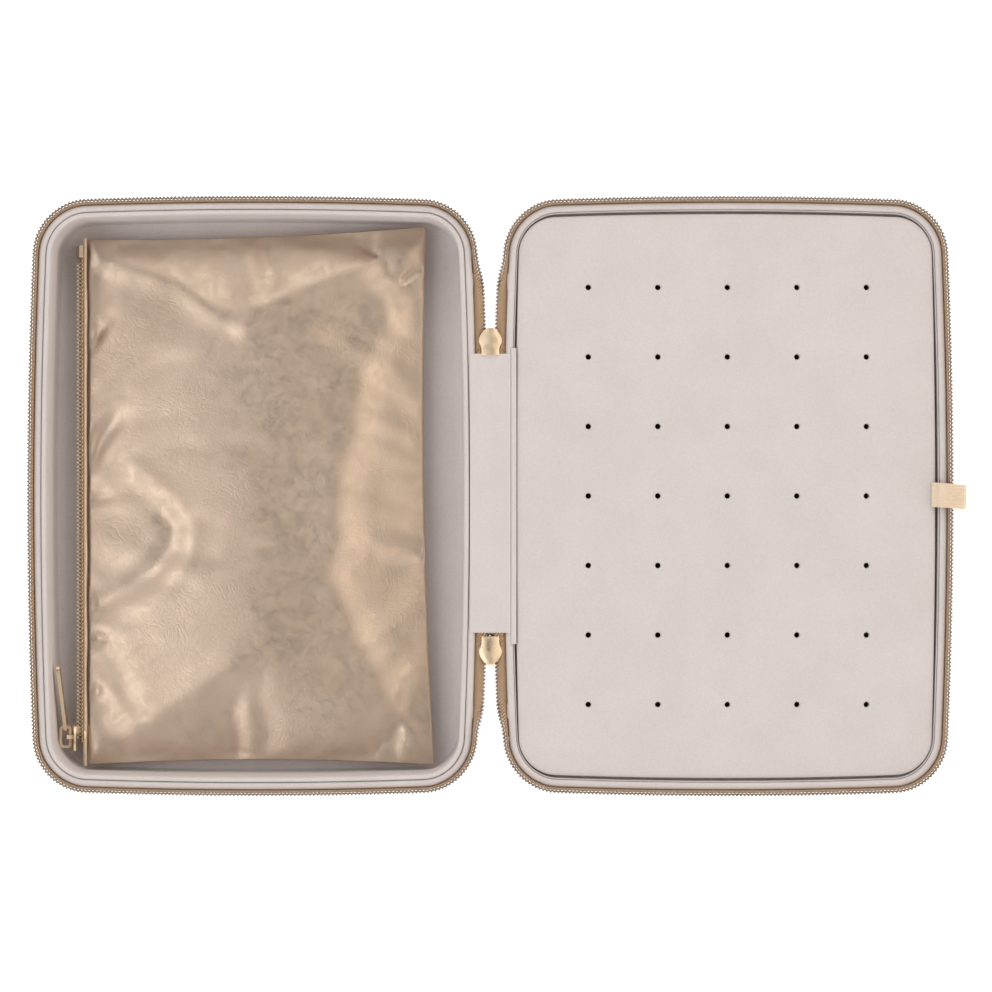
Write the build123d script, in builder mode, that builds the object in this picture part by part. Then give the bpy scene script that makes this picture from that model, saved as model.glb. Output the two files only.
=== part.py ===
"""A travel jewellery case that opens flat like a book, in millimetres.

The left half is a tray that holds a zipped pouch. The right half is the lid, closed off by a hinged
earring panel. A zipper runs round both rims and its two sliders park at the ends of the spine.
"""

import os
from math import cos, radians, sin

from build123d import *

# One half of the case, measured at its rim
half_width = 181.0
half_length = 240.0
half_height = 32.0
corner_radius = 19.0
side_bow = 3.0  # how far the long sides bulge past the corners
end_bow = 2.0
spine_gap = 11.0  # between the two rims when the case lies open
closing_gap = 2.0  # from each rim to the plane where the halves meet

# Moulded shells and their linings
shell_wall = 3.0
shell_edge_radius = 9.0
board_thickness = 1.2
pad_thickness = 0.8
liner_thickness = 2.2
ledge_thickness = 3.5
liner_bead = 0.5  # how far the wall liner stands above the rim
rim_band_height = 2.0
layer_gap = 0.05

# Zipper round the rims
tape_thickness = 0.6
tape_height = 9.5
coil_width = 2.1
coil_height = 2.2
coil_drop = 0.2  # how far the coil starts below the rim
coil_leaves_y = 98.0  # where the coil leaves the rim for the sliders
coil_straight_y = 84.0
coil_meets_y = 69.5
chain_drop = 3.5  # from the closing plane to the middle of the closed chain
chain_length = 120.0
chain_width = 10.4
chain_coil_width = 5.2

# Fabric over the spine
strip_width = 16.6
strip_length = 114.0
strip_thickness = 0.5
cover_thickness = 1.0
cover_drop = 8.5
cover_flange = 8.0

# Sliders and pullers of the case zipper
slider_y = 63.0
slider_length = 11.3
slider_width = 9.3
shank_width = 7.2
slider_height = 5.0
plate_thickness = 0.9
divider_width = 2.2
bridge_width = 1.6
bridge_reach = 4.8
bridge_bar = 0.9
bridge_opening = 1.8
puller_length = 24.0
puller_width = 6.0
puller_thickness = 0.9
upper_puller_tilt = 6.0
lower_puller_tilt = 18.0

# Earring panel
panel_inset = 4.5
panel_top_drop = 0.5
panel_cover_thickness = 0.8
foam_thickness = 3.3
panel_board_thickness = 1.6
backing_thickness = 0.6
hole_pitch = 28.4
hole_radius = 1.15
hole_columns = 5
hole_rows = 7
hole_shift = 0.8  # the hole grid sits this far towards the outer edge
hinge_strip_length = 121.0
hinge_strip_thickness = 0.4

# Ribbon loop on the panel's free edge
ribbon_width = 10.0
ribbon_thickness = 0.35
ribbon_reach = 7.3  # past the rim
ribbon_start = 6.0  # inside the rim
ribbon_lift = 2.2  # over the rim
ribbon_rise = 2.6  # height of the loop

# Pouch
pouch_width = 141.4
pouch_length = 220.0
pouch_turn = 0.5
pouch_centre = (-98.8, -1.6)
pouch_zipper_x = -171.6  # the back of the zipper's tape, just outside the pouch's seam
pouch_corner = 7.0
pouch_seam_height = 12.0
pouch_top = 24.5
pouch_top_inset = 15.0
pouch_foot_inset = 9.0
pouch_zipper_length = 200.0
pouch_zipper_slope = 75.0
pouch_tape_width = 9.0
pouch_tape_thickness = 0.5
pouch_coil_width = 4.6
pouch_coil_height = 1.6
pouch_slider_back = 98.0  # from the pouch's middle down to its slider
tab_length = 5.0
tab_thickness = 1.6
ring_wire = 1.1
ring_length = 9.4
ring_depth = 5.0
ring_corner = 1.6
bar_length = 29.0
bar_width = 4.2
bar_thickness = 1.4
bar_eye_radius = 1.15
bar_direction = (-0.08, 0.95, 0.28)

# Derived places
coil_reach = tape_thickness + coil_width
spine_x = (coil_reach - ribbon_reach) / 2
centre_distance = (half_width + spine_gap) / 2  # from a half's middle to the spine
closing_plane = half_height + closing_gap
chain_z = closing_plane - chain_drop
floor_z = shell_wall + board_thickness + pad_thickness
panel_top = half_height - panel_top_drop
panel_bottom = panel_top - (
    panel_cover_thickness + foam_thickness + panel_board_thickness + backing_thickness
)

# In both halves, local X points to the spine
base_half = Plane((spine_x - centre_distance, 0, 0), x_dir=(1, 0, 0), z_dir=(0, 0, 1))
lid_half = Plane((spine_x + centre_distance, 0, 0), x_dir=(-1, 0, 0), z_dir=(0, 0, 1))


def finish(part, name):
    """Labels a finished piece and writes it."""
    part.label = name
    export_step(part, f"parts/{name}.step")


def outline(plane, grow):
    """The rim line of one half, grown outward: four bowed sides with rounded corners."""
    side, end = half_width / 2 + grow, half_length / 2 + grow
    corner_x, corner_y = side - side_bow, end - end_bow
    with BuildSketch(plane, mode=Mode.PRIVATE) as shape:
        with BuildLine():
            ThreePointArc((corner_x, -corner_y), (side, 0), (corner_x, corner_y))
            ThreePointArc((corner_x, corner_y), (0, end), (-corner_x, corner_y))
            ThreePointArc((-corner_x, corner_y), (-side, 0), (-corner_x, -corner_y))
            ThreePointArc((-corner_x, -corner_y), (0, -end), (corner_x, -corner_y))
        make_face()
        fillet(shape.vertices(), corner_radius + grow)
    return shape.sketch


def rim_x(y):
    """Local X of the rim line on the spine side, at a place along the spine."""
    return half_width / 2 - side_bow * (y / (half_length / 2)) ** 2


def slab(name, half, low, high, grow):
    """A flat sheet of the half's outline."""
    with BuildPart() as sheet:
        extrude(outline(half.offset(low), grow), amount=high - low)
    finish(sheet.part, name)


def ring(name, half, low, high, outer, inner):
    """A band that follows the half's outline between two offsets."""
    with BuildPart() as band:
        extrude(outline(half.offset(low), outer), amount=high - low)
        extrude(outline(half.offset(low), inner), amount=high - low, mode=Mode.SUBTRACT)
    finish(band.part, name)


def tray_shell(name, half):
    """A moulded half shell with a rounded bottom edge, open at the top."""
    height = half_height - rim_band_height
    inner_radius = shell_edge_radius - shell_wall
    with BuildPart(mode=Mode.PRIVATE) as hollow:
        extrude(outline(half.offset(shell_wall), -shell_wall), amount=height)
        fillet(hollow.faces().sort_by(Axis.Z)[0].edges(), inner_radius)
    with BuildPart() as shell:
        extrude(outline(half, 0), amount=height)
        fillet(shell.faces().sort_by(Axis.Z)[0].edges(), shell_edge_radius)
        add(hollow.part, mode=Mode.SUBTRACT)
    finish(shell.part, name)


def spine_sections(half, end, stations):
    """Cross-sections of a band that runs from the rim to a slider.

    Each station is a distance along the spine with the section's X and Z limits there.
    """
    sections = []
    for y, low_x, high_x, low_z, high_z in stations:
        origin = half.from_local_coords(Vector(0, end * y, 0))
        across = Plane(origin, x_dir=half.x_dir, z_dir=-half.y_dir)
        with BuildSketch(across, mode=Mode.PRIVATE) as section:
            with Locations(((low_x + high_x) / 2, (low_z + high_z) / 2)):
                Rectangle(high_x - low_x, high_z - low_z)
        sections.append(section.sketch)
    return sections


def rim_zipper(name, half, low, high, outer, inner, stations):
    """One side of the zipper: a band round three sides and two runs to the sliders."""
    middle = half.from_local_coords(Vector(half_width / 2, 0, 0))
    with BuildPart() as zipper:
        extrude(outline(half.offset(low), outer), amount=high - low)
        extrude(outline(half.offset(low), inner), amount=high - low, mode=Mode.SUBTRACT)
        with Locations(middle):
            Box(30, 2 * coil_leaves_y, 4 * half_height, mode=Mode.SUBTRACT)
        for end in (-1, 1):
            loft(spine_sections(half, end, stations), ruled=True)
    finish(zipper.part, name)


def zipper_tape(name, half):
    """Woven tape: upright on the outer wall, then folding flat towards the chain."""
    low, high = half_height - tape_height, half_height + 0.4
    flat_low, flat_high = chain_z - tape_thickness / 2, chain_z + tape_thickness / 2
    clear = 0.15
    stations = [
        (coil_leaves_y + 0.3, rim_x(coil_leaves_y), rim_x(coil_leaves_y) + 0.5, low, high),
        (coil_straight_y, rim_x(coil_straight_y) + clear, rim_x(coil_straight_y) + 2.2, flat_low, flat_high),
        (coil_meets_y, rim_x(coil_meets_y) + clear, rim_x(coil_meets_y) + 2.4, flat_low, flat_high),
    ]
    rim_zipper(name, half, low, high, tape_thickness, 0, stations)


def zipper_coil(name, half):
    """Coil along the tape's free edge, coming down to the chain at the sliders."""
    low = half_height - coil_drop
    high = low + coil_height - 0.1
    flat_low, flat_high = chain_z - coil_height / 2, chain_z + coil_height / 2
    leave = rim_x(coil_leaves_y) + tape_thickness
    straight = rim_x(coil_straight_y) + 2.3
    meet = rim_x(coil_meets_y) + 2.5
    stations = [
        (coil_leaves_y + 0.3, leave, leave + coil_width, low, high),
        (coil_straight_y, straight, straight + coil_width, flat_low, flat_high),
        (coil_meets_y, meet, meet + coil_width, flat_low, flat_high),
    ]
    rim_zipper(name, half, low, high, coil_reach, tape_thickness, stations)


def half_pieces(side, half, liner, liner_top):
    """The shell, linings and zipper of one half."""
    board_top = shell_wall + board_thickness
    tray_shell(f"{side}_shell", half)
    ring(f"{side}_rim_band", half, half_height - rim_band_height, half_height, 0, -shell_wall)
    slab(f"{side}_floor_board", half, shell_wall, board_top, -shell_edge_radius)
    slab(f"{side}_floor_pad", half, board_top + layer_gap, floor_z, -shell_edge_radius)
    inner = -shell_wall - liner
    ring(f"{side}_wall_liner", half, floor_z + 5, liner_top, -shell_wall - layer_gap, inner)
    zipper_tape(f"{side}_zipper_tape", half)
    zipper_coil(f"{side}_zipper_coil", half)


def spine_pieces():
    """The closed chain between the sliders, with the fabric above and below it."""
    with BuildPart() as chain:
        with Locations((spine_x, 0, chain_z)):
            Box(chain_width, chain_length, tape_thickness)
            Box(chain_coil_width, chain_length, coil_height)
    finish(chain.part, "spine_zipper_chain")

    with BuildPart() as strip:
        with BuildSketch(Plane.XY.offset(half_height + layer_gap)):
            with Locations((spine_x, 0)):
                Rectangle(strip_width, strip_length)
        extrude(amount=strip_thickness)
    finish(strip.part, "spine_inner_strip")

    width = spine_gap - 2 * layer_gap
    bottom = closing_plane - cover_drop
    with BuildPart() as cover:
        with Locations((spine_x, 0, bottom)):
            Box(width, strip_length, cover_thickness, align=(Align.CENTER, Align.CENTER, Align.MIN))
        for side in (-1, 1):
            with Locations((spine_x + side * (width - cover_thickness) / 2, 0, bottom)):
                Box(
                    cover_thickness,
                    strip_length,
                    cover_flange,
                    align=(Align.CENTER, Align.CENTER, Align.MAX),
                )
    finish(cover.part, "spine_outer_cover")


def slider_outline(plane):
    """Spade shape of a slider plate: a shank that swells into a rounded head."""
    tail, nose = -slider_length / 2, slider_length / 2
    shank, head = shank_width / 2, slider_width / 2
    neck_y, tip, tip_y = tail + 2.9, 1.3, nose - 0.15
    with BuildSketch(plane, mode=Mode.PRIVATE) as shape:
        with BuildLine():
            Polyline((-shank, neck_y), (-shank, tail), (shank, tail), (shank, neck_y))
            ThreePointArc((shank, neck_y), (head, 0.3), (tip, tip_y))
            ThreePointArc((tip, tip_y), (0, nose), (-tip, tip_y))
            ThreePointArc((-tip, tip_y), (-head, 0.3), (-shank, neck_y))
        make_face()
    return shape.sketch


def slider_pieces(body_name, bridge_name, plane, bridge_across):
    """Two plates joined by a divider, and the bridge that holds the puller below them.

    bridge_across is the direction that the pull's rail takes through the bridge.
    """
    half_space = slider_height / 2 - plate_thickness
    with BuildPart() as body:
        extrude(slider_outline(plane.offset(half_space)), amount=plate_thickness)
        extrude(slider_outline(plane.offset(-slider_height / 2)), amount=plate_thickness)
        with BuildSketch(plane.offset(-half_space)):
            with Locations((0, slider_length / 4)):
                SlotOverall(3.6, divider_width, rotation=90)
        extrude(amount=2 * half_space)
    finish(body.part, body_name)

    depth = bridge_opening + bridge_bar
    foot = Plane(plane.offset(-slider_height / 2).origin, x_dir=bridge_across, z_dir=plane.z_dir)
    with BuildPart() as bridge:
        with BuildSketch(foot):
            Rectangle(bridge_width, bridge_reach)
        extrude(amount=-depth)
        with BuildSketch(foot):
            Rectangle(2 * bridge_width, bridge_reach - 2 * bridge_bar)
        extrude(amount=-bridge_opening, mode=Mode.SUBTRACT)
    finish(bridge.part, bridge_name)


def puller(name, plane, tilt):
    """A flat tab with an eye round the slider's bridge, hanging tilted towards the nose."""
    hinge = plane.offset(-slider_height / 2 - bridge_opening / 2)
    down = plane.y_dir * sin(radians(tilt)) - plane.z_dir * cos(radians(tilt))
    flat = Plane(hinge.origin, x_dir=plane.x_dir, z_dir=plane.x_dir.cross(down))
    rail = 0.9
    eye_width, eye_length = 3.4, 3.2
    with BuildPart() as tab:
        with BuildSketch(flat):
            with Locations((0, puller_length / 2 - rail / 2)):
                RectangleRounded(puller_width, puller_length, 0.44)
            with Locations((0, rail / 2 + eye_length / 2)):
                Rectangle(eye_width, eye_length, mode=Mode.SUBTRACT)
        extrude(amount=puller_thickness / 2, both=True)
    finish(tab.part, name)


def case_sliders():
    """Both sliders of the case zipper, noses pointing away from the spine strip."""
    for side, end, tilt in (("upper", 1, upper_puller_tilt), ("lower", -1, lower_puller_tilt)):
        plane = Plane((spine_x, end * slider_y, chain_z), x_dir=(end, 0, 0), z_dir=(0, 0, 1))
        slider_pieces(f"{side}_slider_body", f"{side}_slider_bridge", plane, plane.x_dir)
        puller(f"{side}_puller", plane, tilt)


def panel_layer(name, low, high, inset):
    """One sheet of the earring panel, with every earring hole through it."""
    with BuildPart() as layer:
        extrude(outline(lid_half.offset(low), -inset), amount=high - low)
        with BuildSketch(lid_half.offset(low)):
            with Locations((-hole_shift, 0)):
                with GridLocations(hole_pitch, hole_pitch, hole_columns, hole_rows):
                    Circle(hole_radius)
        extrude(amount=high - low, mode=Mode.SUBTRACT)
    finish(layer.part, name)


def earring_panel():
    """Suede cap over foam and board, closed by a backing sheet, with its fabric hinge."""
    inner_inset = panel_inset + panel_cover_thickness
    foam_top = panel_top - panel_cover_thickness
    foam_bottom = foam_top - foam_thickness
    board_bottom = foam_bottom - panel_board_thickness
    panel_layer("panel_foam", foam_bottom, foam_top, inner_inset)
    panel_layer("panel_board", board_bottom, foam_bottom, inner_inset)
    panel_layer("panel_backing", panel_bottom, board_bottom, inner_inset)

    with BuildPart() as cap:
        extrude(outline(lid_half.offset(panel_bottom), -panel_inset), amount=panel_top - panel_bottom)
        extrude(
            outline(lid_half.offset(panel_bottom), -inner_inset),
            amount=foam_top - panel_bottom,
            mode=Mode.SUBTRACT,
        )
        with BuildSketch(lid_half.offset(foam_top)):
            with Locations((-hole_shift, 0)):
                with GridLocations(hole_pitch, hole_pitch, hole_columns, hole_rows):
                    Circle(hole_radius)
        extrude(amount=panel_cover_thickness, mode=Mode.SUBTRACT)
        top_rim = cap.faces().sort_by(Axis.Z)[-1].outer_wire().edges()
        fillet(top_rim, 0.6)
    finish(cap.part, "panel_cover")

    left = strip_width / 2 + 0.1
    right = spine_gap / 2 + panel_inset - 0.1
    with BuildPart() as hinge:
        with BuildSketch(Plane.XY.offset(half_height + layer_gap)):
            with Locations((spine_x + (left + right) / 2, 0)):
                Rectangle(right - left, hinge_strip_length)
        extrude(amount=hinge_strip_thickness)
    finish(hinge.part, "panel_hinge_strip")


def ribbon():
    """A loop of satin ribbon that lies over the rim and comes back."""
    rim = spine_x + spine_gap / 2 + half_width
    start, tip = rim - ribbon_start, rim + ribbon_reach
    low = half_height + ribbon_lift
    high = low + ribbon_rise
    with BuildPart() as loop:
        with BuildSketch(Plane.XZ.offset(-ribbon_width / 2)):
            with BuildLine() as path:
                Polyline((start, low), (tip - ribbon_rise / 2 - 0.2, low))
                ThreePointArc(
                    (tip - ribbon_rise / 2 - 0.2, low),
                    (tip - ribbon_thickness / 2, (low + high) / 2),
                    (tip - ribbon_rise / 2 - 0.2, high),
                )
                Polyline((tip - ribbon_rise / 2 - 0.2, high), (start, low + 1.2))
            trace(path.line, line_width=ribbon_thickness)
        extrude(amount=ribbon_width)
    finish(loop.part, "ribbon_pull")


def pouch_skin(name, ground, sections):
    """A leather half of the pouch, through sections given as height and inset."""
    sheets = []
    for height, inset in sections:
        with BuildSketch(ground.offset(height), mode=Mode.PRIVATE) as sheet:
            RectangleRounded(pouch_width - 2 * inset, pouch_length - 2 * inset, pouch_corner)
        sheets.append(sheet.sketch)
    with BuildPart() as skin:
        loft(sheets, ruled=True)
    finish(skin.part, name)


def pouch_strips(name, zipper, low, high, inner, outer, length):
    """Two matching strips of the pouch's zipper, one each side of the slider's divider."""
    with BuildPart() as strips:
        with BuildSketch(zipper.offset(low)):
            for side in (-1, 1):
                with Locations((side * (inner + outer) / 2, 0)):
                    Rectangle(outer - inner, length)
        extrude(amount=high - low)
    finish(strips.part, name)


def pouch_pieces(zipper):
    """The filled pouch: front and back leather meeting at the seam, and its side zipper."""
    ground = Plane((*pouch_centre, 0)).rotated((0, 0, pouch_turn))
    seam, foot = pouch_seam_height, floor_z + 0.1
    pouch_skin("pouch_front", ground, [(seam, 0), (seam + 6, 2), (pouch_top, pouch_top_inset)])
    back = [(foot, pouch_foot_inset), (foot + 3.4, 1.5), (seam - layer_gap, 0)]
    pouch_skin("pouch_back", ground, back)

    gap = divider_width / 2 + 0.1
    tape_edge = pouch_tape_width / 2
    coil_top = pouch_tape_thickness + pouch_coil_height
    pouch_strips("pouch_zipper_tape", zipper, 0, pouch_tape_thickness, gap, tape_edge, pouch_zipper_length)
    coil_edge = pouch_coil_width / 2
    coil_length = pouch_zipper_length - 2
    pouch_strips("pouch_zipper_coil", zipper, pouch_tape_thickness, coil_top, gap, coil_edge, coil_length)

    with BuildPart() as tab:
        with BuildSketch(zipper):
            with Locations((0, (pouch_zipper_length + tab_length) / 2 + 0.1)):
                Rectangle(pouch_tape_width, tab_length)
        extrude(amount=tab_thickness)
    finish(tab.part, "pouch_tape_tab")


def pouch_pull(zipper):
    """The pouch's slider with a ring through its bridge and a bar on the ring."""
    middle = pouch_tape_thickness + pouch_coil_height / 2
    place = zipper.from_local_coords(Vector(0, -pouch_slider_back, middle))
    slider = Plane(place, x_dir=-zipper.x_dir, z_dir=-zipper.z_dir)
    slider_pieces("pouch_slider_body", "pouch_slider_bridge", slider, slider.y_dir)

    rail = slider.offset(-slider_height / 2 - bridge_opening / 2)
    lying = Plane(rail.origin, x_dir=(-1, 0, 0), z_dir=(0, 0, -1))
    with BuildPart() as wire:
        with BuildSketch(lying):
            with Locations((ring_depth / 2 - ring_wire / 2, 0)):
                RectangleRounded(ring_depth, ring_length, ring_corner)
                RectangleRounded(
                    ring_depth - 2 * ring_wire,
                    ring_length - 2 * ring_wire,
                    ring_corner - ring_wire / 2,
                    mode=Mode.SUBTRACT,
                )
        extrude(amount=ring_wire / 2, both=True)
    finish(wire.part, "pouch_pull_ring")

    eye = lying.from_local_coords(Vector(ring_depth / 2 - ring_wire / 2, (ring_length - ring_wire) / 2, 0))
    direction = Vector(*bar_direction).normalized()
    level = direction.cross(Vector(0, 0, 1)).normalized()
    flat = Plane(eye, x_dir=direction, z_dir=level)
    with BuildPart() as bar:
        with BuildSketch(flat):
            with Locations((bar_length / 2 - bar_width / 2, 0)):
                SlotOverall(bar_length, bar_width)
            Circle(bar_eye_radius, mode=Mode.SUBTRACT)
        extrude(amount=bar_thickness / 2, both=True)
    finish(bar.part, "pouch_pull_bar")
    print("pouch ring hinge", rail.origin, "pouch bar hinge", eye)


def side_zipper():
    """The plane of the pouch's zipper: on its outer long side, nearly upright."""
    slope = radians(pouch_zipper_slope)
    edge = Vector(pouch_zipper_x, pouch_centre[1], pouch_seam_height + 0.6)
    across = Vector(cos(slope), 0, sin(slope))
    return Plane(edge, x_dir=across, z_dir=across.cross(Vector(0, 1, 0)))


def main():
    os.makedirs("parts", exist_ok=True)
    half_pieces("base", base_half, liner_thickness, half_height + liner_bead)
    half_pieces("lid", lid_half, ledge_thickness, panel_bottom - layer_gap)
    spine_pieces()
    case_sliders()
    earring_panel()
    ribbon()
    zipper = side_zipper()
    pouch_pieces(zipper)
    pouch_pull(zipper)


main()
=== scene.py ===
from collections import namedtuple
from math import asin, cos, exp, hypot, pi, radians, sin

import bmesh
import bpy
from mathutils import Matrix, Vector, noise


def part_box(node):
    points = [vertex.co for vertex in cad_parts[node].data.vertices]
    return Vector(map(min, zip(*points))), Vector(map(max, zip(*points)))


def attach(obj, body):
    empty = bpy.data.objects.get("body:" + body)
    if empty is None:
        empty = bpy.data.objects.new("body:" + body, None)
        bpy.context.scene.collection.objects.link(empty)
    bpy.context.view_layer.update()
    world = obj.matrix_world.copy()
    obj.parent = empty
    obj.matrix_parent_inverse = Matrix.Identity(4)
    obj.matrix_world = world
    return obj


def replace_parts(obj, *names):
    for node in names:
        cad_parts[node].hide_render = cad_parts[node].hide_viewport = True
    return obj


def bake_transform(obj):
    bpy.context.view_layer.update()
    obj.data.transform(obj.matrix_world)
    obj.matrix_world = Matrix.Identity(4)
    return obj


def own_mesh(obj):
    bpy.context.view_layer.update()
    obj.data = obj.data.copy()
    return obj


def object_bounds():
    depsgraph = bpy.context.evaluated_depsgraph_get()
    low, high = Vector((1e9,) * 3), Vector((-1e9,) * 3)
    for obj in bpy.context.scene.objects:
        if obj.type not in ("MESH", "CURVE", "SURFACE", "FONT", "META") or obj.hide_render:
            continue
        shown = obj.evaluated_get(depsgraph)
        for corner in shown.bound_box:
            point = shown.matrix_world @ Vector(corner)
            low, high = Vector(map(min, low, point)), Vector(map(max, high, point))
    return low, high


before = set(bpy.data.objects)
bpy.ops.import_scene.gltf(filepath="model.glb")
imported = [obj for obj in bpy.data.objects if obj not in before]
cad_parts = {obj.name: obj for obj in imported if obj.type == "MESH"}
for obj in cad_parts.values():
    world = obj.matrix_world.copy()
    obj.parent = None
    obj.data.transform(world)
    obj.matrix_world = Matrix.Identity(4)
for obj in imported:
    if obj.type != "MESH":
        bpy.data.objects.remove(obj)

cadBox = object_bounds()
mm = 0.001
scene = bpy.context.scene
up = Vector((0, 0, 1))
baseLow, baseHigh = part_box("base_rim_band")
lidLow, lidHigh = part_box("lid_rim_band")
rimTop = baseHigh.z
spineX = (baseHigh.x + lidLow.x) / 2
chainLow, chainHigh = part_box("spine_zipper_chain")
chainZ = (chainLow.z + chainHigh.z) / 2
spineSide = {"base": 1, "lid": -1}  # the way to the spine along X


# ---- shared helpers

def smoothStep(value):
    value = min(max(value, 0), 1)
    return value * value * (3 - 2 * value)


def linear(code):  # sRGB hex to a linear colour
    channels = [int(code[i:i + 2], 16) / 255 for i in (0, 2, 4)]
    return [c / 12.92 if c <= 0.04045 else ((c + 0.055) / 1.055) ** 2.4 for c in channels] + [1]


def addNode(tree, kind, settings, links):  # one node with its settings and what feeds it
    node = tree.nodes.new(kind)
    for key, value in settings.items():
        if isinstance(key, int) or key in node.inputs:
            node.inputs[key].default_value = value
        else:
            setattr(node, key, value)
    for key, source in links.items():
        tree.links.new(source, node.inputs[key])
    return node.outputs


def startMaterial(name, settings, coordinate="Object"):
    material = bpy.data.materials.new(name)
    material.use_nodes = True
    tree = material.node_tree
    shader = tree.nodes["Principled BSDF"]
    for key, value in settings.items():
        shader.inputs[key].default_value = value
    place = addNode(tree, "ShaderNodeTexCoord", {}, {})[coordinate]
    return material, tree, shader, place


def toObject(bm, name, material, sharp=38):
    mesh = bpy.data.meshes.new(name)
    bm.to_mesh(mesh)
    bm.free()
    mesh.materials.append(material)
    mesh.polygons.foreach_set("use_smooth", [True] * len(mesh.polygons))
    mesh.set_sharp_from_angle(angle=radians(sharp))
    piece = bpy.data.objects.new(name, mesh)
    scene.collection.objects.link(piece)
    return piece


def applyModifiers(piece):
    graph = bpy.context.evaluated_depsgraph_get()
    mesh = bpy.data.meshes.new_from_object(piece.evaluated_get(graph))
    piece.modifiers.clear()
    piece.data = mesh


def newVerts(result):
    return [g for g in result["geom"] if isinstance(g, bmesh.types.BMVert)]


# ---- materials

suede = {"colour": "d6d0cf", "shade": "c9c1bf", "fibre": 0.6, "mottle": 18, "nap": 0.1}


def makeSuede():  # microsuede, brushed polyester: matt, with a short nap that catches light at its edges
    material, tree, shader, place = startMaterial("fauxSuede", {
        "Roughness": 0.92, "Specular IOR Level": 0.25, "Sheen Weight": 0.25, "Sheen Roughness": 0.6,
        "Sheen Tint": linear("fff8f4")})
    fibre = addNode(tree, "ShaderNodeTexNoise", {"Scale": 1000 / suede["fibre"], "Detail": 2,
        "Roughness": 0.6}, {"Vector": place})["Fac"]
    mottle = addNode(tree, "ShaderNodeTexNoise", {"Scale": 1000 / suede["mottle"], "Detail": 3},
        {"Vector": place})["Fac"]
    blend = addNode(tree, "ShaderNodeMath", {"operation": "MULTIPLY_ADD", 1: 2.0}, {0: fibre, 2: mottle})[0]
    spread = addNode(tree, "ShaderNodeMapRange", {"From Min": 0.9, "From Max": 2.1}, {"Value": blend})[0]
    colour = addNode(tree, "ShaderNodeMix", {"data_type": "RGBA", 6: linear(suede["shade"]),
        7: linear(suede["colour"])}, {0: spread})[2]
    bump = addNode(tree, "ShaderNodeBump", {"Strength": 0.55, "Distance": suede["nap"] * mm},
        {"Height": fibre})[0]
    tree.links.new(colour, shader.inputs["Base Color"])
    tree.links.new(bump, shader.inputs["Normal"])
    return material


# the dark colour is painted shade, laid in the low grooves between the ribs
tape = {"light": "d6b792", "dark": "6f5038", "rib": 1.0}  # ribs drawn coarser than real, so that they show


def makeTape(name, coordinate):  # polyester herringbone tape: slanted ribs of twill along its length, with painted shade darkening the grooves between the ribs
    material, tree, shader, place = startMaterial(name, {"Roughness": 0.75, "Sheen Weight": 0.15},
        coordinate)
    turn = addNode(tree, "ShaderNodeMapping", {"Rotation": (0, 0, radians(35))}, {"Vector": place})[0]
    ribs = addNode(tree, "ShaderNodeTexWave", {"Scale": 314 / tape["rib"], "Distortion": 1.5,
        "Detail": 1, "Detail Scale": 2}, {"Vector": turn})["Fac"]
    # noise that lowers the ribs in patches; where they are low the colour darkens as painted shade
    patchyRibs = addNode(tree, "ShaderNodeTexNoise", {"Scale": 1000 / 0.9, "Detail": 2}, {"Vector": place})["Fac"]
    height = addNode(tree, "ShaderNodeMath", {"operation": "MULTIPLY"}, {0: ribs, 1: patchyRibs})[0]
    spread = addNode(tree, "ShaderNodeMapRange", {"From Min": 0.05, "From Max": 0.5}, {"Value": height})[0]
    # painted shade: the colour follows the ribs' height, so grooves and low patches get the dark colour
    colour = addNode(tree, "ShaderNodeMix", {"data_type": "RGBA", 6: linear(tape["dark"]),
        7: linear(tape["light"])}, {0: spread})[2]
    bump = addNode(tree, "ShaderNodeBump", {"Strength": 0.8, "Distance": 0.15 * mm}, {"Height": height})[0]
    tree.links.new(colour, shader.inputs["Base Color"])
    tree.links.new(bump, shader.inputs["Normal"])
    return material


def makeMetal(name, colour, roughness, grain):  # plated metal: bright, with faint uneven polish
    material, tree, shader, place = startMaterial(name, {"Metallic": 1.0, "Base Color": linear(colour)})
    haze = addNode(tree, "ShaderNodeTexNoise", {"Scale": 1000 / grain, "Detail": 3}, {"Vector": place})["Fac"]
    rough = addNode(tree, "ShaderNodeMapRange", {"From Min": 0.3, "From Max": 0.7,
        "To Min": roughness * 0.7, "To Max": roughness * 1.4}, {"Value": haze})[0]
    bump = addNode(tree, "ShaderNodeBump", {"Strength": 0.25, "Distance": 0.02 * mm}, {"Height": haze})[0]
    tree.links.new(rough, shader.inputs["Roughness"])
    tree.links.new(bump, shader.inputs["Normal"])
    return material


def makeCoil(name, dark, light):  # nylon coil with a metallised skin: smooth plastic that glints like dull metal
    material, tree, shader, place = startMaterial(name, {"Metallic": 0.5, "Roughness": 0.32})
    patch = addNode(tree, "ShaderNodeTexNoise", {"Scale": 1000 / 1.3, "Detail": 2}, {"Vector": place})["Fac"]
    colour = addNode(tree, "ShaderNodeMix", {"data_type": "RGBA", 6: linear(dark),
        7: linear(light)}, {0: patch})[2]
    tree.links.new(colour, shader.inputs["Base Color"])
    return material


pouchLeather = {"colour": "d2bfad", "shade": "bda894", "grain": 0.9, "crease": 16, "rough": 0.44}


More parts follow.
